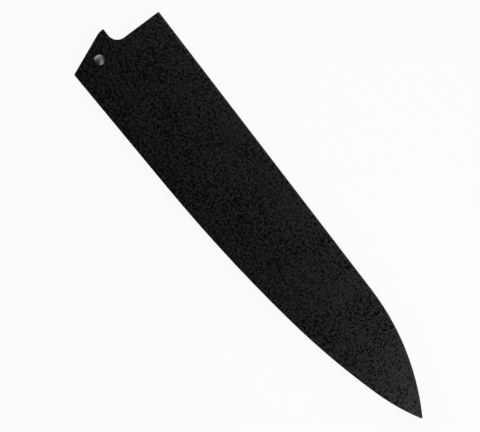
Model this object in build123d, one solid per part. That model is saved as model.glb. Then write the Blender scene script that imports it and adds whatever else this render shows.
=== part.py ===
from build123d import *

import os
from math import atan2, cos, degrees, radians, sin, sqrt, tan

os.makedirs("parts", exist_ok=True)

# A blade guard for a 240 mm chef's knife: two grained plates with a spacer strip along the
# spine and another along the cutting edge, felt linings, and a pin that locks the knife in.
# It lies on its back plate. X runs along the spine towards the tip, Y runs across towards the
# spine, and Z runs up through the front plate. Lengths are in millimetres, angles in degrees.

# Outline, drawn from the collar corner, where the open end meets the spine
guard_width = 55.0          # from the spine line to the heel corner
spine_run = 182.0           # straight part of the spine
drop_radius = 132.5         # the spine's drop to the tip
edge_taper = 2.15           # how fast the edge side closes on the spine
edge_run = 75.0             # straight part of the edge side, from the heel corner
rear_belly_radius = 890.0
rear_belly_angle = 6.1      # how far this arc turns
middle_belly_radius = 411.0
middle_belly_angle = 8.25
front_belly_radius = 115.0
front_belly_angle = 90.0    # more than it needs to reach the tip

# Open end: a collar for the handle's neck, a notch, and a hook that carries the pin
collar_lean = 0.6           # off square to the spine
heel_lean = 22.35           # the hook's back edge, off square to the spine
hook_height = 26.65         # from the heel corner up to the hook's flat top
hook_cut = 1.17             # how far the hook's sharp back corner is cut in
hook_shoulder_share = 0.9   # of the cut's height, rounded off towards the heel
notch_radius = 6.0
notch_flat_share = 0.98     # of the hook's flat top, the most that the notch's round takes

# Plates
plate_thickness = 2.6
edge_round = 0.4            # round along the outer edges
corner_flat = 0.2           # how much larger a corner's radius is than that round
seam_chamfer = 0.25         # leaves a fine line where a plate meets a spacer

# Spacers
spacer_width = 3.0
pocket_height = 5.2         # thickness of the spacers, between the plates
pocket_end_radius = 1.5     # inner corner of the pocket at the tip

# Linings, each let into its plate
lining_thickness = 0.8
lining_seat = 0.4           # depth of the seat in the plate
lining_margin = 2.0         # bare strip along the open end
lining_corner = 1.0
lining_gap = 0.3            # between a lining and the walls round it

# Locking pin, its bushes and its rubber ring
pin_set_in = 1.4            # from the collar corner towards the tip
pin_height = 15.2           # above the heel corner
pin_radius = 1.8            # the shoulder that runs in the front bush
pin_clearance = 0.05
shank_relief = 0.2          # how much thinner the shank is than the shoulder
nose_chamfer = 0.35
nose_recess = 0.3           # from the back face in to the pin's nose
nail_gap = 0.5              # between the plate and the head's underside
neck_setback = 0.1          # from the bush's outside in to the neck
head_overhang = 0.45        # past the bush, all round
head_rim = 0.4
dome_rise = 0.9
bush_wall = 0.45
bush_clearance = 0.02
flange_width = 0.9
ring_section = 0.72
ring_clearance = 0.05       # to the bush's bore
ring_grip = 0.02            # between the ring and the bottom of its groove
ring_side_room = 0.1
snap_depth = 0.15           # groove in the back bush that the ring springs into
snap_width = 1.3

# Dowels, which hold the layers in line while they are glued
dowel_radius = 0.75
dowel_clearance = 0.03
dowel_bite = 1.5            # how far one enters each plate
dowel_end_gap = 0.1
dowel_end_margin = 10.0     # from a spacer's ends to its first and last dowel
dowels_per_spacer = 5

# Sizes that follow from those above
overrun = lining_margin     # how far a cut runs past the open end
corner_radius = edge_round + corner_flat
front_inside = plate_thickness + pocket_height
front_face = front_inside + plate_thickness
bore_radius = pin_radius + pin_clearance
bush_radius = bore_radius + bush_wall
flange_radius = bush_radius + flange_width
ring_outer_radius = bore_radius - ring_clearance
ring_inner_radius = ring_outer_radius - ring_section
ring_height = plate_thickness / 2

heel_corner = Vector(-guard_width * tan(radians(collar_lean)), -guard_width)
hook_top = Vector(0, hook_height - guard_width)
belly_start = heel_corner + Vector(edge_run, 0).rotate(Axis.Z, edge_taper)
drop_start = Vector(spine_run, 0)
drop_centre = drop_start - Vector(0, drop_radius)
pin_place = Pos(pin_set_in, heel_corner.Y + pin_height)


def heading(angle):
    """A unit step in a direction, counted in degrees from X towards Y."""
    return Vector(cos(radians(angle)), sin(radians(angle)))


def crossing(point_a, angle_a, point_b, angle_b):
    """Where two lines cross, each given by a point and a direction."""
    step_a, step_b, between = heading(angle_a), heading(angle_b), point_b - point_a
    along = between.cross(step_b).Z / step_a.cross(step_b).Z
    return point_a + step_a * along


def belly_arcs():
    """The belly's arcs from the heel to the tip, each starting in the direction in which the
    last one ends. Each is given by its centre, radius, first direction and turn."""
    start, angle, arcs = belly_start, edge_taper, []
    for radius, turn in (
        (rear_belly_radius, rear_belly_angle),
        (middle_belly_radius, middle_belly_angle),
        (front_belly_radius, front_belly_angle),
    ):
        centre = start + heading(angle + 90) * radius
        arcs.append((centre, radius, angle, turn))
        angle += turn
        start = centre + heading(angle - 90) * radius
    return arcs


def belly_turned(arc, point):
    """How far an arc of the belly has turned where it passes a point, or a point beside it."""
    centre, radius, angle, turn = arc
    step = point - centre
    return degrees(atan2(step.Y, step.X)) + 90 - angle


def tip_centre(inset):
    """The point that lies the inset away from both the belly and the spine's drop, on the
    first of the belly's arcs that gets there."""
    for arc in belly_arcs():
        belly_reach, drop_reach = arc[1] - inset, drop_radius - inset
        across = drop_centre - arc[0]
        foot = (belly_reach**2 - drop_reach**2 + across.length**2) / (2 * across.length)
        rise = sqrt(max(0, belly_reach**2 - foot**2))
        along = across.normalized()
        point = arc[0] + along * foot + along.rotate(Axis.Z, 90) * rise
        if belly_turned(arc, point) <= arc[3]:
            return point


def belly_side(inset, end):
    """The belly moved in by the inset, from the straight part up to beside the end point."""
    place, pieces = belly_start + heading(edge_taper + 90) * inset, []
    for arc in belly_arcs():
        centre, radius, angle, turn = arc
        turn = min(turn, belly_turned(arc, end))
        pieces.append(JernArc(place, heading(angle), radius - inset, turn))
        place = pieces[-1] @ 1
        if turn < arc[3]:
            return pieces


def drop_side(inset, end):
    """The spine's drop moved in by the inset, from the straight part to beside the end point."""
    step = end - drop_centre
    fall = 90 - degrees(atan2(step.Y, step.X))
    return JernArc(drop_start - Vector(0, inset), heading(0), drop_radius - inset, -fall)


def open_end(side_inset, mouth_inset, round_radius, cut):
    """The corners of the open end and their radii, from the heel round to the collar. The
    cut takes off the hook's sharp back corner."""
    edge_line = heel_corner + heading(edge_taper + 90) * side_inset
    hook_line = heel_corner + heading(heel_lean) * mouth_inset
    flat_line = hook_top - Vector(0, mouth_inset)
    collar_line = heading(-collar_lean) * mouth_inset
    heel = crossing(edge_line, edge_taper, hook_line, 90 + heel_lean)
    peak = crossing(hook_line, 90 + heel_lean, flat_line, 0)
    notch = crossing(flat_line, 0, collar_line, 90 - collar_lean)
    collar = crossing(collar_line, 90 - collar_lean, Vector(0, -side_inset), 0)
    nose = peak + Vector(cut, 0)
    corners = [(heel, round_radius)]
    if cut:
        fall = cut / tan(radians(heel_lean))
        shoulder = (fall - round_radius) * hook_shoulder_share / tan(radians(heel_lean / 2))
        corners.append((nose - Vector(0, fall), shoulder))
    corners.append((nose, round_radius))
    flat = (notch - nose).length - round_radius * tan(radians(90 + heel_lean) / 2)
    corners.append((notch, min(notch_radius + mouth_inset, flat * notch_flat_share)))
    corners.append((collar, round_radius))
    return corners


def outline(side_inset, mouth_inset, tip_radius, round_radius, cut=0):
    """The guard's face, moved in along its two long sides and along its open end."""
    centre = tip_centre(side_inset + tip_radius)
    belly = belly_side(side_inset, centre)
    drop = drop_side(side_inset, centre)
    tip = TangentArc(belly[-1] @ 1, drop @ 1, tangent=belly[-1] % 1)
    corners = open_end(side_inset, mouth_inset, round_radius, cut)
    places = [place for place, radius in corners]
    mouth = FilletPolyline(belly[0] @ 0, *places, drop @ 0, radius=[radius for place, radius in corners])
    return make_face([mouth, drop, tip, *belly])


def slab(face, bottom, top):
    """A face made solid between two heights."""
    return Pos(0, 0, bottom) * extrude(face, top - bottom)


def drum(radius, bottom, top):
    """A round bar on the pin's axis between two heights."""
    return pin_place * slab(Circle(radius), bottom, top)


def flipped(piece):
    """The front half's copy of a piece of the back half."""
    return mirror(piece, about=Plane.XY.offset(front_face / 2))


guard_face = outline(0, 0, corner_radius, corner_radius, hook_cut)
pocket_face = outline(spacer_width, -overrun, pocket_end_radius, lining_corner)


def dowel_places():
    """Where the dowels stand along the middle of each spacer, spine side first."""
    inset = spacer_width / 2
    centre = tip_centre(inset)
    spine_start = Vector(0, -inset)
    edge_start = heel_corner + heading(edge_taper + 90) * inset
    drop, belly = drop_side(inset, centre), belly_side(inset, centre)
    middles = [
        Wire([*Line(spine_start, drop @ 0).edges(), *drop.edges()]),
        Wire([*Line(edge_start, belly[0] @ 0).edges(), *[arc.edge() for arc in belly]]),
    ]
    places = []
    for middle in middles:
        pitch = (middle.length - 2 * dowel_end_margin) / (dowels_per_spacer - 1)
        distances = [dowel_end_margin + pitch * number for number in range(dowels_per_spacer)]
        places.append([middle.position_at(at, position_mode=PositionMode.LENGTH) for at in distances])
    return places


def dowel_holes():
    """The holes for all the dowels, in both plates and through the spacers."""
    depth = dowel_bite + dowel_end_gap
    hole = slab(Circle(dowel_radius + dowel_clearance), plate_thickness - depth, front_inside + depth)
    return [Pos(place) * hole for row in dowel_places() for place in row]


def plate():
    """The back plate, with its outer edges rounded, the seat for its lining, and its holes."""
    body = slab(guard_face, 0, plate_thickness)
    body = fillet(body.faces().sort_by(Axis.Z)[0].edges(), edge_round)
    body = chamfer(body.faces().sort_by(Axis.Z)[-1].edges(), seam_chamfer)
    seat_face = outline(spacer_width, lining_margin, pocket_end_radius, lining_corner)
    seat = slab(seat_face, plate_thickness - lining_seat, front_inside)
    flange_seat = drum(flange_radius + bush_clearance, plate_thickness - lining_seat, front_inside)
    bush_hole = drum(bush_radius + bush_clearance, 0, front_inside)
    return body - seat - flange_seat - bush_hole - dowel_holes()


def spine_half():
    """The half of the guard's face on the spine's side of a line that runs through the
    pocket to its end, and from there along the mitre at the tip."""
    inner_tip, outer_tip = tip_centre(spacer_width + pocket_end_radius), tip_centre(corner_radius)
    past_tip = outer_tip + (outer_tip - inner_tip).normalized() * spacer_width
    before_mouth = guard_face.bounding_box().min.X - overrun
    return make_face(Polyline(
        (before_mouth, hook_top.Y),
        inner_tip,
        past_tip,
        (past_tip.X, overrun),
        (before_mouth, overrun),
        close=True,
    ))


def spacers():
    """The strips along the spine and along the edge, which meet in a mitre at the tip."""
    band = guard_face - pocket_face
    strips = [band & spine_half(), band - spine_half()]
    return [slab(strip, plate_thickness, front_inside) - dowel_holes() for strip in strips]


def lining():
    """The back lining, with a hole round the bush's flange."""
    side, mouth = spacer_width + lining_gap, lining_margin + lining_gap
    floor = plate_thickness - lining_seat
    felt = slab(outline(side, mouth, pocket_end_radius, lining_corner), floor, floor + lining_thickness)
    return felt - drum(flange_radius + lining_gap, floor, front_inside)


def bush():
    """The back bush, with a flange inside the plate and the snap groove in its bore."""
    flange = drum(flange_radius, plate_thickness - lining_seat, plate_thickness)
    bore = drum(bore_radius, 0, plate_thickness)
    snap = drum(bore_radius + snap_depth, ring_height - snap_width / 2, ring_height + snap_width / 2)
    return drum(bush_radius, 0, plate_thickness) + flange - bore - snap


def front_bush():
    """The front bush, which is the back one with a plain bore."""
    blank = flipped(bush()) + drum(bush_radius, front_inside, front_face)
    return blank - drum(bore_radius, front_inside, front_face)


def locking_pin():
    """The pin: a domed head, a neck for a fingernail, a shoulder, and a shank with a groove
    for its ring."""
    shank = pin_radius - shank_relief
    neck = bush_radius - neck_setback
    head = bush_radius + head_overhang
    groove = ring_inner_radius - ring_grip
    groove_half = ring_section / 2 + ring_side_room
    head_bottom = front_face + nail_gap
    rim_top = head_bottom + head_rim
    side = Polyline(
        (0, rim_top + dome_rise),
        (0, nose_recess),
        (shank - nose_chamfer, nose_recess),
        (shank, nose_recess + nose_chamfer),
        (shank, ring_height - groove_half),
        (groove, ring_height - groove_half),
        (groove, ring_height + groove_half),
        (shank, ring_height + groove_half),
        (shank, front_inside),
        (pin_radius, front_inside),
        (pin_radius, front_face),
        (neck, front_face),
        (neck, head_bottom),
        (head, head_bottom),
        (head, rim_top),
    )
    dome = TangentArc(side @ 0, side @ 1, tangent=(1, 0))
    return pin_place * revolve(Plane.XZ * make_face([side, dome]), Axis.Z)


def pin_ring():
    """The rubber ring near the pin's nose, as it is squeezed in the bush."""
    return pin_place * Pos(0, 0, ring_height) * Torus(ring_outer_radius - ring_section / 2, ring_section / 2)


def dowel():
    """One dowel, which reaches from plate to plate through a spacer."""
    return slab(Circle(dowel_radius), plate_thickness - dowel_bite, front_inside + dowel_bite)


spine_spacer, edge_spacer = spacers()
nodes = {
    "back_plate": plate(),
    "front_plate": flipped(plate()),
    "spine_spacer": spine_spacer,
    "edge_spacer": edge_spacer,
    "back_lining": lining(),
    "front_lining": flipped(lining()),
    "back_pin_bush": bush(),
    "front_pin_bush": front_bush(),
    "locking_pin": locking_pin(),
    "pin_ring": pin_ring(),
}
for side, row in zip(("spine", "edge"), dowel_places()):
    for number, place in enumerate(row, start=1):
        nodes[f"{side}_dowel_{number}"] = Pos(place) * dowel()

# The origin is below the middle of the outline, on the face that the guard lies on
middle = guard_face.bounding_box().center()
for name, shape in nodes.items():
    export_step(Pos(-middle.X, -middle.Y) * shape, f"parts/{name}.step")
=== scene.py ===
import bpy
import bmesh
import math
import numpy as np
from mathutils import Matrix, Vector, geometry, kdtree, noise


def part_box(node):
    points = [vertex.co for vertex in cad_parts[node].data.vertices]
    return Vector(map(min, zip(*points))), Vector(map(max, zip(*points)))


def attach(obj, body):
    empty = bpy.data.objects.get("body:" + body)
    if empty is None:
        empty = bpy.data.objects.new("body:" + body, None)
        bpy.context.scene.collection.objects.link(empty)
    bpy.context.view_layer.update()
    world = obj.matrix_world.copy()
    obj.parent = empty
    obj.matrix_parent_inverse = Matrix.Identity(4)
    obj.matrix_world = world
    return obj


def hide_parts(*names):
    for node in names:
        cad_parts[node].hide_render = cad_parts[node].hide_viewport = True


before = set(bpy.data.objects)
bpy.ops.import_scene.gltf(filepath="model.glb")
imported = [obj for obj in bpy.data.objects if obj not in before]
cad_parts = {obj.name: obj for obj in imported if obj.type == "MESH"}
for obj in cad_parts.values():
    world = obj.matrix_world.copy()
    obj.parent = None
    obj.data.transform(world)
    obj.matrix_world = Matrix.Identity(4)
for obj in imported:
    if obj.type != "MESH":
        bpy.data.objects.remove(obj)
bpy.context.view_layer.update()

# Lengths are in metres
MM = 0.001

# The photo's frame on the plates' outer face: pixels across, the size of one, its middle and its turn
photo_pixels = 480
photo_pixel = 0.52 * MM
photo_middle = Vector((-10.27, -3.61, 10.4)) * MM
photo_turn = math.radians(52.54)

# The camera's height above that face, and its sensor, which alone is in millimetres
camera_height = 1.5
camera_sensor = 36.0

# Corners of a solid that are this near to each other are one, and so are heights
same_corner = 0.002 * MM
same_height = 0.001 * MM

# The guard's height halfway through
guard_middle = 5.2 * MM

# The plates' grain: its pits, the patches in which they are more or fewer, the net that it is
# pressed in, its depth, and the noise at a pit's rim and on its floor
grain_size = 1.12 * MM
grain_patch = 14 * grain_size
grain_pitch = 0.42 * MM
pit_depth = 0.014 * MM
patch_share = 0.16
pit_rim = 0.56
pit_floor = 0.475

# The painted highlight where the rounded spine edge catches the light, laid on as rub marks: how far
# in from the spine it starts and is full, the same from the heel, and its share further on
rub_highlight_across = (2.1 * MM, 0.6 * MM)
rub_highlight_along = (76 * MM, 41 * MM)
rub_highlight_least = 0.12

# The felt: its net, the width and depth of its rounded edge, its lumps and the area that is cut
felt_pitch = 0.9 * MM
felt_shoulder = 0.8 * MM
felt_droop = 0.22 * MM
felt_lumps = 0.05 * MM
felt_lump_size = 3.2 * MM

# Its pile: how far in from the mouth it thins out, fibres per square millimetre, and their share
# further in
pile_reach = 22 * MM
pile_density = 8.0
pile_least = 0.03

# One fibre, how far it leans in radians, how far it sways aside, and over what distance that changes
fibre_length = 1.8 * MM
fibre_radius = 0.018 * MM
fibre_rise = 0.26 * MM
fibre_lean = 0.15
fibre_sway = 0.9 * MM
sway_size = 1.1 * MM

# The floor's half width, its gap below the guard, how white it shows, and the room's faint light
floor_half = 6.0
floor_gap = 0.05 * MM
floor_white = 0.92
room_light = 0.04

# The sizes that go into the two Geometry Nodes trees
grain_sizes = {"Grain": grain_size, "Patch": grain_patch, "Depth": pit_depth}
pile_sizes = {"Length": fibre_length, "Radius": fibre_radius, "Rise": fibre_rise,
              "Count per square metre": pile_density / MM ** 2}


# Nodes for the finishes and for what repeats

class Web:
    """Adds the nodes of one finish, or of one Geometry Nodes tree, and joins them."""

    def __init__(self, tree):
        self.tree = tree

    def add(self, kind, feeds=None, **settings):
        """A new node with its settings, and with each input fed by a value or by another node."""
        node = self.tree.nodes.new(kind)
        for name, value in settings.items():
            setattr(node, name, value)
        for socket, value in (feeds or {}).items():
            self.feed(node.inputs[socket], value)
        return node

    def feed(self, socket, value):
        if isinstance(value, bpy.types.NodeSocket):
            self.tree.links.new(value, socket)
        else:
            socket.default_value = value

    def maths(self, kind, first, second=0.0, third=0.0):
        return self.add("ShaderNodeMath", {0: first, 1: second, 2: third}, operation=kind).outputs[0]

    def step(self, value, low, high, start=0.0, end=1.0):
        """From start to end as the value goes from low to high, smoothly."""
        feeds = {"Value": value, "From Min": low, "From Max": high, "To Min": start, "To Max": end}
        return self.add("ShaderNodeMapRange", feeds, interpolation_type="SMOOTHSTEP").outputs[0]

    def colours(self, share, first, second):
        """From the first colour to the second as the share goes from 0 to 1."""
        feeds = {0: share, 6: (*first, 1.0) if isinstance(first, tuple) else first,
                 7: (*second, 1.0) if isinstance(second, tuple) else second}
        return self.add("ShaderNodeMix", feeds, data_type="RGBA").outputs[2]

    def cloud(self, place, size, detail=2.0, roughness=0.5, distortion=0.0):
        """Noise from 0 to 1 whose lumps are about as wide as the size, a number or a node's output."""
        scale = self.maths("DIVIDE", 1.0, size) if isinstance(size, bpy.types.NodeSocket) else 1.0 / size
        feeds = {"Vector": place, "Scale": scale, "Detail": detail,
                 "Roughness": roughness, "Distortion": distortion}
        return self.add("ShaderNodeTexNoise", feeds).outputs[0]

    def stretched(self, place, scale):
        """Places that draw a pattern out along the axes whose scale is small."""
        return self.add("ShaderNodeMapping", {"Vector": place, "Scale": scale}).outputs[0]

    def bumped(self, height, distance):
        feeds = {"Height": height, "Distance": distance, "Strength": 1.0}
        return self.add("ShaderNodeBump", feeds).outputs[0]


def new_finish(name, **surface):
    """A finish with one surface, the web that its nodes are added with, and each place on the piece."""
    finish = bpy.data.materials.new(name)
    finish.use_nodes = True
    face = finish.node_tree.nodes["Principled BSDF"]
    for socket, value in surface.items():
        face.inputs[socket.replace("_", " ")].default_value = value
    web = Web(finish.node_tree)
    place = web.add("ShaderNodeTexCoord").outputs["Object"]
    return finish, face, web, place


# Finishes

def pits(web, place, size, patch):
    """How far a place lies in a pit of the grain, from 0 to 1: ragged pits, some run together."""
    blots = web.cloud(place, size, detail=1.6, roughness=0.5, distortion=0.2)
    patches = web.cloud(place, patch, detail=1.0)
    thinned = web.maths("MULTIPLY_ADD", patches, patch_share, blots)
    return web.step(thinned, pit_rim, pit_floor)


def facing_up(web):
    """How level a face is: 1 on the broad faces, 0 on the sides."""
    slope = web.add("ShaderNodeSeparateXYZ", {0: web.add("ShaderNodeNewGeometry").outputs["Normal"]})
    return web.maths("ABSOLUTE", slope.outputs["Z"])


def on_outside(web, place):
    """1 on the guard's outer faces, 0 on the faces of the pocket."""
    height = web.add("ShaderNodeSeparateXYZ", {0: place}).outputs["Z"]
    from_middle = web.maths("ABSOLUTE", web.maths("SUBTRACT", height, guard_middle))
    return web.step(from_middle, 0.6 * guard_middle, 0.9 * guard_middle)


def spine_rub_highlight(web, place):
    """Painted highlight along the rounded spine edge, laid on as rub marks, from 0 to 1: most near the heel.
    """
    low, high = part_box("front_plate")
    parts = web.add("ShaderNodeSeparateXYZ", {0: place}).outputs
    near_spine = web.step(parts["Y"], high.y - rub_highlight_across[0], high.y - rub_highlight_across[1])
    near_heel = web.step(parts["X"], low.x + rub_highlight_along[0], low.x + rub_highlight_along[1], rub_highlight_least, 1.0)
    marks = web.step(web.cloud(place, 0.8 * MM, detail=3.0), 0.35, 0.6, 0.6, 1.0)
    rub_highlight = web.maths("MULTIPLY", web.maths("MULTIPLY", near_spine, near_heel), marks)
    return web.maths("MULTIPLY", rub_highlight, on_outside(web, place))


def grained_black():
    """Black plate: clouded satin with small dark pits, sawn along its sides, a painted highlight along the
    spine.
    """
    pit_black = (0.0002, 0.0002, 0.0002)
    pale_black = (0.0110, 0.0110, 0.0111)
    rub_highlight_grey = (0.033, 0.033, 0.0333)
    finish, face, web, place = new_finish("grained_black", Specular_IOR_Level=0.298)
    level = facing_up(web)
    broad = web.maths("MULTIPLY", web.step(level, 0.86, 0.97), on_outside(web, place))
    pitted = web.maths("MULTIPLY", pits(web, place, grain_size, grain_patch), broad)
    tone = web.step(web.cloud(place, 1.3 * MM, detail=1.6), 0.415, 0.595)
    clouded = web.colours(tone, pit_black, pale_black)
    # painted highlight: the field turns lighter grey along the spine, where the rounded edge catches the
    # light
    field = web.colours(spine_rub_highlight(web, place), clouded, rub_highlight_grey)
    web.feed(face.inputs["Base Color"], web.colours(pitted, field, pit_black))
    satin = web.step(tone, 0.0, 1.0, 0.276, 0.300)
    side = web.step(level, 0.5, 0.9, 0.36, 0.0)
    dull = web.maths("MAXIMUM", side, satin)
    gloss = web.step(pitted, 0.0, 0.9, dull, 0.165)
    web.feed(face.inputs["Roughness"], gloss)
    fine = web.cloud(place, 0.6 * MM, detail=2.0)
    sawn = web.cloud(web.stretched(place, (0.04, 0.04, 1.0)), 0.12 * MM, detail=2.0)
    skin = web.colours(broad, sawn, fine)
    height = web.maths("MULTIPLY_ADD", pitted, -0.2, skin)
    web.feed(face.inputs["Normal"], web.bumped(height, 0.014 * MM))
    return finish


def plain_black():
    """Cut strip: fine marks of the cutter run along it."""
    finish, face, web, place = new_finish("plain_black", Specular_IOR_Level=0.42)
    marks = web.cloud(web.stretched(place, (0.05, 0.05, 1.0)), 0.14 * MM, detail=3.0, roughness=0.6)
    tone = web.cloud(place, 4 * MM, detail=3.0)
    web.feed(face.inputs["Base Color"], web.colours(tone, (0.010, 0.010, 0.0105), (0.017, 0.017, 0.0175)))
    web.feed(face.inputs["Roughness"], web.step(marks, 0.3, 0.7, 0.34, 0.5))
    web.feed(face.inputs["Normal"], web.bumped(marks, 0.012 * MM))
    return finish


def turned_metal(name, axis, bright, dark, smooth, rough, mark):
    """Metal off a lathe: rings round the axis, on its ends and along its side."""
    finish, face, web, place = new_finish(name, Metallic=1.0)
    centred = web.add("ShaderNodeMapping", {"Vector": place, "Location": (-axis.x, -axis.y, 0.0)})
    parts = web.add("ShaderNodeSeparateXYZ", {0: centred.outputs[0]})
    flat = web.add("ShaderNodeCombineXYZ", {"X": parts.outputs["X"], "Y": parts.outputs["Y"]})
    out = web.add("ShaderNodeVectorMath", {0: flat.outputs[0]}, operation="LENGTH").outputs["Value"]
    ring = web.add("ShaderNodeCombineXYZ", {"X": out, "Z": parts.outputs["Z"]}).outputs[0]
    rings = web.cloud(ring, mark, detail=3.0, roughness=0.65)
    stain = web.cloud(place, 1.6 * MM, detail=3.0)
    web.feed(face.inputs["Base Color"], web.colours(stain, bright, dark))
    web.feed(face.inputs["Roughness"], web.step(rings, 0.3, 0.7, smooth, rough))
    web.feed(face.inputs["Normal"], web.bumped(rings, 0.004 * MM))
    return finish


def pin_steel(axis):
    """The pin's dull steel."""
    return turned_metal("pin_steel", axis, bright=(0.18, 0.18, 0.183), dark=(0.145, 0.145, 0.147),
                        smooth=0.38, rough=0.48, mark=0.1 * MM)


def bush_steel(axis):
    """The bushes' brighter steel."""
    return turned_metal("bush_steel", axis, bright=(0.50, 0.49, 0.48), dark=(0.36, 0.36, 0.36),
                        smooth=0.3, rough=0.46, mark=0.14 * MM)


def ring_rubber():
    """Black rubber with a little dust on it."""
    finish, face, web, place = new_finish("ring_rubber", Specular_IOR_Level=0.4)
    dust = web.cloud(place, 0.35 * MM, detail=4.0, roughness=0.7)
    web.feed(face.inputs["Base Color"], web.colours(dust, (0.011, 0.011, 0.011), (0.024, 0.023, 0.022)))
    web.feed(face.inputs["Roughness"], web.step(dust, 0.3, 0.7, 0.55, 0.78))
    web.feed(face.inputs["Normal"], web.bumped(dust, 0.01 * MM))
    return finish


def dowel_nylon():
    """Drawn nylon rod, milky, with faint lines along it."""
    finish, face, web, place = new_finish("dowel_nylon", Subsurface_Weight=0.15)
    face.inputs["Subsurface Radius"].default_value = (0.6 * MM, 0.5 * MM, 0.4 * MM)
    clouds = web.cloud(place, 0.9 * MM, detail=3.0)
    drawn = web.cloud(web.stretched(place, (1.0, 1.0, 0.06)), 0.12 * MM, detail=2.0)
    web.feed(face.inputs["Base Color"], web.colours(clouds, (0.66, 0.63, 0.55), (0.78, 0.76, 0.69)))
    web.feed(face.inputs["Roughness"], web.step(drawn, 0.3, 0.7, 0.38, 0.55))
    web.feed(face.inputs["Normal"], web.bumped(drawn, 0.008 * MM))
    return finish


def felt_body():
    """Pressed wool: matted fibres in every direction, mottled where dyed and undyed wool meet."""
    finish, face, web, place = new_finish("felt", Specular_IOR_Level=0.15, Sheen_Weight=0.35,
                                          Sheen_Roughness=0.6)
    face.inputs["Sheen Tint"].default_value = (0.55, 0.56, 0.6, 1.0)
    matted = web.cloud(place, 0.45 * MM, detail=6.0, roughness=0.72, distortion=2.2)
    mottle = web.cloud(place, 3.5 * MM, detail=4.0, roughness=0.65)
    wool = web.colours(web.step(matted, 0.32, 0.66), (0.010, 0.010, 0.011), (0.056, 0.056, 0.060))
    web.feed(face.inputs["Base Color"], web.colours(web.step(mottle, 0.35, 0.65, 0.0, 0.45),
                                                    wool, (0.026, 0.026, 0.029)))
    web.feed(face.inputs["Roughness"], web.step(matted, 0.3, 0.7, 0.84, 0.98))
    web.feed(face.inputs["Normal"], web.bumped(matted, 0.14 * MM))
    return finish


def felt_fibre():
    """Single fibres of wool, some paler than others."""
    finish, face, web, place = new_finish("felt_fibre", Specular_IOR_Level=0.3, Sheen_Weight=0.2)
    dye = web.cloud(place, 1.2 * MM, detail=2.0)
    web.feed(face.inputs["Base Color"], web.colours(dye, (0.028, 0.028, 0.031), (0.095, 0.095, 0.10)))
    web.feed(face.inputs["Roughness"], web.step(dye, 0.3, 0.7, 0.6, 0.8))
    return finish


# Shapes taken from the solids

def cad_form(node):
    """The solid's own shape as one closed form: its triangles come loose, so their corners are merged."""
    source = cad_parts[node].data
    form = bmesh.new()
    corners = [form.verts.new(v.co) for v in source.vertices]
    for triangle in source.polygons:
        form.faces.new([corners[i] for i in triangle.vertices])
    bmesh.ops.remove_doubles(form, verts=form.verts, dist=same_corner)
    return form


def level_faces(form, height):
    """The faces of a form that lie flat at a height."""
    return [f for f in form.faces if all(abs(v.co.z - height) < same_height for v in f.verts)]


def rims_of(faces):
    """The rims of a flat face, its outline first and then its holes, each as its corners in order."""
    inside = set(faces)
    steps = {}
    for f in faces:
        for loop in f.loops:
            if sum(g in inside for g in loop.edge.link_faces) == 1:
                steps[loop.vert] = loop.link_loop_next.vert
    rims = []
    while steps:
        start, at = next(iter(steps.items()))
        rim = [start]
        del steps[start]
        while at is not start:
            rim.append(at)
            at = steps.pop(at)
        rims.append(rim)
    return sorted(rims, key=lambda rim: -rim_length(rim))


def rim_length(rim):
    return sum((a.co - b.co).length for a, b in zip(rim, rim[1:] + rim[:1]))


def cut_rims(form, faces, pitch):
    """Cuts the long edges of a flat face's rims to about the pitch."""
    inside = set(faces)
    cuts = {}
    for edge in {e for f in faces for e in f.edges}:
        if sum(f in inside for f in edge.link_faces) == 1 and edge.calc_length() > 1.3 * pitch:
            cuts.setdefault(math.ceil(edge.calc_length() / pitch) - 1, []).append(edge)
    for number, edges in sorted(cuts.items()):
        bmesh.ops.subdivide_edges(form, edges=edges, cuts=number)


def scattered(rims, pitch, seed):
    """Places about a pitch apart inside the rims and off their edges, with how far each is from an edge.

    They stand in rows, as the corners of even triangles do, and each strays a little from its spot.
    """
    row_height = 0.866 * pitch
    stray = 0.18
    clear = 0.6 * pitch
    edge_points = [Vector((*point, 0.0)) for rim in rims for point in rim]
    tree = kdtree.KDTree(len(edge_points))
    for i, point in enumerate(edge_points):
        tree.insert(point, i)
    tree.balance()
    starts = np.array([p for rim in rims for p in rim])
    ends = np.array([p for rim in rims for p in rim[1:] + rim[:1]])
    low, high = starts.min(0), starts.max(0)
    dice = np.random.default_rng(seed)
    places = []
    for row, y in enumerate(np.arange(low[1] + 0.5 * pitch, high[1], row_height)):
        crossed = (starts[:, 1] <= y) != (ends[:, 1] <= y)
        a, b = starts[crossed], ends[crossed]
        at = np.sort(a[:, 0] + (y - a[:, 1]) / (b[:, 1] - a[:, 1]) * (b[:, 0] - a[:, 0]))
        for left, right in zip(at[::2], at[1::2]):
            xs = np.arange(low[0] + (row % 2) * 0.5 * pitch, right, pitch)
            for x in xs[xs > left]:
                along = dice.uniform(-stray, stray) * pitch
                across = dice.uniform(-stray, stray) * pitch
                spot = Vector((x + along, y + across, 0.0))
                far = tree.find(spot)[2]
                if far > clear:
                    places.append((spot.xy, far))
    return places


def fine_net(rims, pitch, seed):
    """A fine net of triangles that fills the rims but not their holes.

    It is given as its places, how far each is from an edge, and its triangles.
    """
    edge_points = [Vector(p) for rim in rims for p in rim]
    inner = scattered(rims, pitch, seed)
    points = edge_points + [spot for spot, far in inner]
    edges = []
    hole_of = {}
    first = 0
    for number, rim in enumerate(rims):
        count = len(rim)
        edges += [(first + i, first + (i + 1) % count) for i in range(count)]
        hole_of.update({first + i: number for i in range(count)})
        first += count
    _, _, triangles, origin, _, _ = geometry.delaunay_2d_cdt(points, edges, [], 1, 1e-9)
    old = [o[0] for o in origin]
    net = [tuple(old[i] for i in t) for t in triangles]

    def over_hole(triangle):
        holes = {hole_of.get(corner, 0) for corner in triangle}
        return len(holes) == 1 and 0 not in holes

    distances = [0.0] * len(edge_points) + [far for spot, far in inner]
    return points, distances, [t for t in net if not over_hole(t)]


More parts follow.
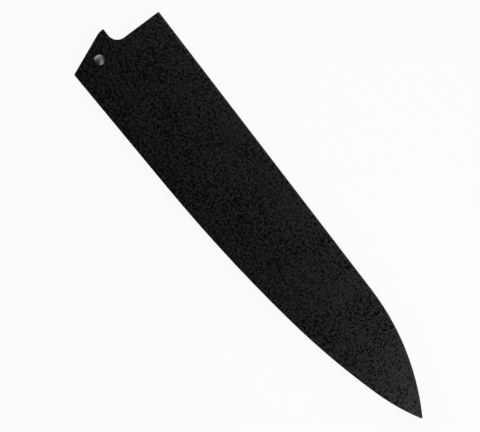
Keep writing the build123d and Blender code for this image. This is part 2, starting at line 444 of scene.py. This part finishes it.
def new_piece(name, mesh, finish, body):
    """A visible piece of one finish that moves with its body."""
    piece = bpy.data.objects.new(name, mesh)
    bpy.context.scene.collection.objects.link(piece)
    mesh.materials.clear()
    mesh.materials.append(finish)
    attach(piece, body)
    return piece


def evaluated(piece, name):
    """What a piece's modifiers make of it, as a plain mesh."""
    view = bpy.context.evaluated_depsgraph_get()
    mesh = bpy.data.meshes.new_from_object(piece.evaluated_get(view))
    mesh.name = name
    return mesh


def worked(name, mesh, tree, sizes):
    """The mesh that a Geometry Nodes tree makes of another."""
    blank = bpy.data.objects.new("blank", mesh)
    bpy.context.scene.collection.objects.link(blank)
    tool = blank.modifiers.new("tool", "NODES")
    tool.node_group = tree
    for socket in tree.interface.items_tree:
        if socket.in_out == "INPUT" and socket.name in sizes:
            tool[socket.identifier] = sizes[socket.name]
    result = evaluated(blank, name)
    bpy.data.objects.remove(blank)
    return result


def new_tree(name, sizes):
    """An empty Geometry Nodes tree with named inputs for its sizes."""
    tree = bpy.data.node_groups.new(name, "GeometryNodeTree")
    tree.interface.new_socket("Geometry", in_out="INPUT", socket_type="NodeSocketGeometry")
    tree.interface.new_socket("Geometry", in_out="OUTPUT", socket_type="NodeSocketGeometry")
    for size, value in sizes.items():
        socket = tree.interface.new_socket(size, in_out="INPUT", socket_type="NodeSocketFloat")
        socket.default_value = value
    web = Web(tree)
    return tree, web, web.add("NodeGroupInput").outputs, web.add("NodeGroupOutput").inputs[0]


# The grained plates

def grain_tree(finish):
    """Presses the grain's pits into a face, where its broad attribute is 1."""
    tree, web, sizes, result = new_tree("press_grain", grain_sizes)
    place = web.add("GeometryNodeInputPosition").outputs[0]
    up = web.add("GeometryNodeInputNormal").outputs[0]
    broad = web.add("GeometryNodeInputNamedAttribute", {"Name": "broad"}, data_type="FLOAT").outputs[0]
    pressed = web.maths("MULTIPLY", pits(web, place, sizes["Grain"], sizes["Patch"]), broad)
    depth = web.maths("MULTIPLY", web.maths("MULTIPLY", pressed, sizes["Depth"]), -1.0)
    offset = web.add("ShaderNodeVectorMath", {0: up, "Scale": depth}, operation="SCALE").outputs[0]
    moved = web.add("GeometryNodeSetPosition", {"Geometry": sizes["Geometry"], "Offset": offset})
    whole = web.add("GeometryNodeRealizeInstances", {0: moved.outputs[0]})
    painted = web.add("GeometryNodeSetMaterial", {"Geometry": whole.outputs[0], "Material": finish})
    web.feed(result, painted.outputs[0])
    return tree


def grained_plate(node, finish, tree, outer, seed):
    """The plate with its outer face laid in fine triangles and pressed with the grain."""
    form = cad_form(node)
    broad = form.verts.layers.float.new("broad")
    cut_rims(form, level_faces(form, outer), grain_pitch)
    face = level_faces(form, outer)
    rims = rims_of(face)
    up = face[0].normal.z > 0
    flat_rims = [[tuple(v.co.xy) for v in rim] for rim in rims]
    bmesh.ops.delete(form, geom=face, context="FACES")
    points, _, net = fine_net(flat_rims, grain_pitch, seed)
    corners = [v for rim in rims for v in rim]
    for spot in points[len(corners):]:
        corner = form.verts.new((spot.x, spot.y, outer))
        corner[broad] = 1.0
        corners.append(corner)
    for a, b, c in net:
        order = (a, b, c) if up else (a, c, b)
        form.faces.new([corners[i] for i in order])
    mesh = bpy.data.meshes.new(node + "_blank")
    form.to_mesh(mesh)
    form.free()
    made = worked(node + "_grained", mesh, tree, grain_sizes)
    made.shade_smooth()
    made.set_sharp_from_angle(angle=math.radians(28))
    plate = new_piece(node + "_grained", made, finish, "guard")
    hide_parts(node)


# The felt linings

def felt_height(spot, far, thickness):
    """The felt's thickness at a place: rounded off towards its edge, and lumpy."""
    shoulder = max(0.0, 1.0 - far / felt_shoulder)
    lumps = noise.fractal(Vector((spot[0], spot[1], 0.0)) / felt_lump_size, 1.0, 2.0, 4)
    return thickness - felt_droop * shoulder ** 2 - felt_lumps * (0.6 + lumps) * min(1.0, far / felt_shoulder)


def felt_lining(node, finish, opens_up, seed):
    """A sheet of felt glued in its seat: flat below, a lumpy face with rounded edges above."""
    form = cad_form(node)
    low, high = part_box(node)
    seat = low.z if opens_up else high.z
    cut_rims(form, level_faces(form, seat), felt_pitch)
    flat_rims = [[tuple(v.co.xy) for v in rim] for rim in rims_of(level_faces(form, seat))]
    form.free()
    points, distances, net = fine_net(flat_rims, felt_pitch, seed)
    rise = 1.0 if opens_up else -1.0
    tops = [(x, y, seat + rise * felt_height((x, y), far, high.z - low.z))
            for (x, y), far in zip(points, distances)]
    bottoms = [(x, y, seat) for x, y in points]
    count = len(points)
    faces = net + [(count + a, count + c, count + b) for a, b, c in net]
    first = 0
    for rim in flat_rims:
        number = len(rim)
        faces += [(first + i, first + (i + 1) % number, count + first + (i + 1) % number, count + first + i)
                  for i in range(number)]
        first += number
    mesh = bpy.data.meshes.new(node + "_felt")
    mesh.from_pydata(tops + bottoms, [], faces)
    form = bmesh.new()
    form.from_mesh(mesh)
    bmesh.ops.recalc_face_normals(form, faces=form.faces)
    form.to_mesh(mesh)
    form.free()
    mesh.shade_smooth()
    mesh.set_sharp_from_angle(angle=math.radians(60))
    pile = mesh.attributes.new("pile", "FLOAT", "POINT")
    mouth = min(x for x, y, z in tops)
    near_mouth = [max(0.0, 1.0 - (x - mouth) / pile_reach) for x, y, z in tops]
    on_top = [pile_least + (1.0 - pile_least) * near for near in near_mouth]
    pile.data.foreach_set("value", on_top + [0.0] * count)
    lining = new_piece(node + "_felt", mesh, finish, "guard")
    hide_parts(node)
    return lining


def pile_tree(finish):
    """Stands arched fibres on the felt, more of them where its pile attribute is high."""
    tree, web, sizes, result = new_tree("raise_pile", pile_sizes)
    share = web.add("GeometryNodeInputNamedAttribute", {"Name": "pile"}, data_type="FLOAT").outputs[0]
    density = web.maths("MULTIPLY", share, sizes["Count per square metre"])
    spots = web.add("GeometryNodeDistributePointsOnFaces", {"Mesh": sizes["Geometry"], "Density": density,
                                                            "Seed": 7}, distribute_method="RANDOM")
    half = web.maths("MULTIPLY", sizes["Length"], 0.5)
    below = web.maths("MULTIPLY", sizes["Rise"], -0.5)
    top = web.maths("MULTIPLY", sizes["Rise"], 2.5)
    ends = [web.add("ShaderNodeCombineXYZ", {"X": web.maths("MULTIPLY", half, way), "Z": below}).outputs[0]
            for way in (-1.0, 1.0)]
    middle = web.add("ShaderNodeCombineXYZ", {"Z": top}).outputs[0]
    arch = web.add("GeometryNodeCurveQuadraticBezier", {"Resolution": 4, "Start": ends[0],
                                                        "Middle": middle, "End": ends[1]})
    round_ = web.add("GeometryNodeCurvePrimitiveCircle", {"Resolution": 3, "Radius": sizes["Radius"]})
    fibre = web.add("GeometryNodeCurveToMesh", {"Curve": arch.outputs[0], "Profile Curve": round_.outputs[0],
                                                "Fill Caps": True})
    turns = {"Min": (-fibre_lean, -fibre_lean, 0.0), "Max": (fibre_lean, fibre_lean, 6.283), "Seed": 3}
    turn = web.add("FunctionNodeRandomValue", turns, data_type="FLOAT_VECTOR").outputs[0]
    lean = web.add("FunctionNodeRotateRotation", {"Rotation": spots.outputs["Rotation"], "Rotate By": turn},
                   rotation_space="LOCAL").outputs[0]
    size = web.add("FunctionNodeRandomValue", {2: 0.5, 3: 1.0, "Seed": 11}, data_type="FLOAT").outputs[1]
    stood = web.add("GeometryNodeInstanceOnPoints", {"Points": spots.outputs["Points"],
                                                     "Instance": fibre.outputs[0],
                                                     "Rotation": lean, "Scale": size})
    loose = web.add("GeometryNodeRealizeInstances", {0: stood.outputs[0]}).outputs[0]
    place = web.add("GeometryNodeInputPosition").outputs[0]
    sways = {"Vector": place, "Scale": 1.0 / sway_size, "Detail": 1.0}
    sway = web.add("ShaderNodeTexNoise", sways).outputs[1]
    centred = web.add("ShaderNodeVectorMath", {0: sway, 1: (0.5, 0.5, 0.5)}, operation="SUBTRACT").outputs[0]
    level_sway = (fibre_sway, fibre_sway, 0.0)
    shift = web.add("ShaderNodeVectorMath", {0: centred, 1: level_sway}, operation="MULTIPLY")
    bent = web.add("GeometryNodeSetPosition", {"Geometry": loose, "Offset": shift.outputs[0]})
    painted = web.add("GeometryNodeSetMaterial", {"Geometry": bent.outputs[0], "Material": finish})
    web.feed(result, painted.outputs[0])
    return tree


def pile_on(lining, finish, tree):
    """The fibres that stand on a lining, as one piece."""
    made = worked(lining.name + "_pile", lining.data.copy(), tree, pile_sizes)
    made.shade_smooth()
    return new_piece(lining.name + "_pile", made, finish, "guard")


# Camera, lights and floor

def photo_place(right, up, height):
    """A place given by how far right and up it is in the photo's frame, and how high."""
    turn = Matrix.Rotation(photo_turn, 3, "Z")
    return photo_middle + turn @ Vector((right, up, 0.0)) + Vector((0.0, 0.0, height))


def photo_camera():
    """Straight above the guard, turned as the photo is."""
    eye = bpy.data.cameras.new("photo_camera")
    eye.type = "PERSP"
    eye.sensor_width = camera_sensor
    eye.sensor_fit = "HORIZONTAL"
    eye.lens = camera_sensor * camera_height / (photo_pixels * photo_pixel)
    eye.clip_start = 0.01
    eye.clip_end = 50.0
    stand = bpy.data.objects.new("photo_camera", eye)
    stand.location = photo_place(0.0, 0.0, camera_height)
    stand.rotation_euler = (0.0, 0.0, photo_turn)
    bpy.context.scene.collection.objects.link(stand)
    bpy.context.scene.camera = stand


def softbox(name, right, up, height, width, length, watts):
    """A soft lamp that faces the photo's middle and doesn't show itself.

    The numbers are how far right, up and above that middle it stands, its width and its length,
    all in metres, and its watts.
    """
    lamp = bpy.data.lights.new(name, "AREA")
    lamp.shape = "RECTANGLE"
    lamp.size = width
    lamp.size_y = length
    lamp.energy = watts
    stand = bpy.data.objects.new(name, lamp)
    stand.location = photo_place(right, up, height)
    stand.rotation_mode = "QUATERNION"
    stand.rotation_quaternion = (photo_middle - stand.location).to_track_quat("-Z", "Y")
    stand.visible_camera = False
    bpy.context.scene.collection.objects.link(stand)


def seen_rays(web, mirrors=True):
    """1 for the rays that show a thing itself: the camera's, and those through gloss and glass."""
    path = web.add("ShaderNodeLightPath").outputs
    seen = path["Is Camera Ray"]
    if mirrors:
        through = web.maths("MAXIMUM", path["Is Glossy Ray"], path["Is Transmission Ray"])
        seen = web.maths("MAXIMUM", seen, through)
    return seen


def floor():
    """A pale floor, nearly white to the eye, that keeps the shadow of what lies on it."""
    finish = bpy.data.materials.new("pale_floor")
    finish.use_nodes = True
    web = Web(finish.node_tree)
    face = finish.node_tree.nodes["Principled BSDF"]
    face.inputs["Base Color"].default_value = (0.9, 0.9, 0.9, 1.0)
    face.inputs["Roughness"].default_value = 0.9
    face.inputs["Specular IOR Level"].default_value = 0.1
    glow = web.add("ShaderNodeEmission", {"Color": (1.0, 1.0, 1.0, 1.0), "Strength": 1.0}).outputs[0]
    share = web.maths("MULTIPLY", seen_rays(web), floor_white)
    both = web.add("ShaderNodeMixShader", {0: share, 1: face.outputs[0], 2: glow}).outputs[0]
    web.feed(finish.node_tree.nodes["Material Output"].inputs["Surface"], both)
    mesh = bpy.data.meshes.new("floor")
    sides = ((-1, -1), (1, -1), (1, 1), (-1, 1))
    corners = [(x * floor_half, y * floor_half, -floor_gap) for x, y in sides]
    mesh.from_pydata(corners, [], [(0, 1, 2, 3)])
    mesh.materials.append(finish)
    ground = bpy.data.objects.new("floor", mesh)
    bpy.context.scene.collection.objects.link(ground)


def room():
    """A dim room that shows white to the camera alone."""
    world = bpy.data.worlds.new("room")
    bpy.context.scene.world = world
    world.use_nodes = True
    web = Web(world.node_tree)
    dim = world.node_tree.nodes["Background"]
    dim.inputs["Color"].default_value = (1.0, 1.0, 1.0, 1.0)
    dim.inputs["Strength"].default_value = room_light
    white = web.add("ShaderNodeBackground", {"Color": (1.0, 1.0, 1.0, 1.0), "Strength": 1.0}).outputs[0]
    both = web.add("ShaderNodeMixShader", {0: seen_rays(web, mirrors=False), 1: dim.outputs[0], 2: white})
    web.feed(world.node_tree.nodes["World Output"].inputs["Surface"], both.outputs[0])


def lights():
    """A wide window, three strips whose sheen grows towards the spine and the tip, and a small glint."""
    softbox("window_light", -0.6, 1.2, 0.7, 3.0, 1.0, 22.0)
    softbox("spine_light", 0.103, 0.079, 0.43, 0.7, 0.085, 0.41)
    softbox("side_light", 0.226, -0.01, 0.43, 0.6, 0.085, 0.25)
    softbox("tip_light", 0.17, -0.172, 0.43, 0.3, 0.085, 0.29)
    softbox("glint_light", 0.25, -0.55, 0.43, 0.1, 0.1, 1.2)


# Putting it together

def repaint(finish, *nodes):
    """Gives the solids' own nodes a finish."""
    for node in nodes:
        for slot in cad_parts[node].material_slots:
            slot.material = finish


def guard():
    """Gives every solid its finish, and adds the grained plates, the felt and its pile."""
    grained = grained_black()
    pin_low, pin_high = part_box("locking_pin")
    axis = (pin_low + pin_high) / 2
    repaint(grained, "front_plate", "back_plate")
    repaint(plain_black(), "spine_spacer", "edge_spacer")
    repaint(pin_steel(axis), "locking_pin")
    repaint(bush_steel(axis), "front_pin_bush", "back_pin_bush")
    repaint(ring_rubber(), "pin_ring")
    repaint(dowel_nylon(), *[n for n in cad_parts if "_dowel_" in n])
    press = grain_tree(grained)
    grained_plate("front_plate", grained, press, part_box("front_plate")[1].z, 1)
    grained_plate("back_plate", grained, press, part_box("back_plate")[0].z, 2)
    wool, fibre = felt_body(), felt_fibre()
    raised = pile_tree(fibre)
    for node, plate, opens_up, seed in (("back_lining", "back_plate_grained", True, 3),
                                        ("front_lining", "front_plate_grained", False, 4)):
        lining = felt_lining(node, wool, opens_up, seed)
        pile = pile_on(lining, fibre, raised)


bpy.context.scene.view_settings.view_transform = "Standard"
guard()
photo_camera()
lights()
floor()
room()
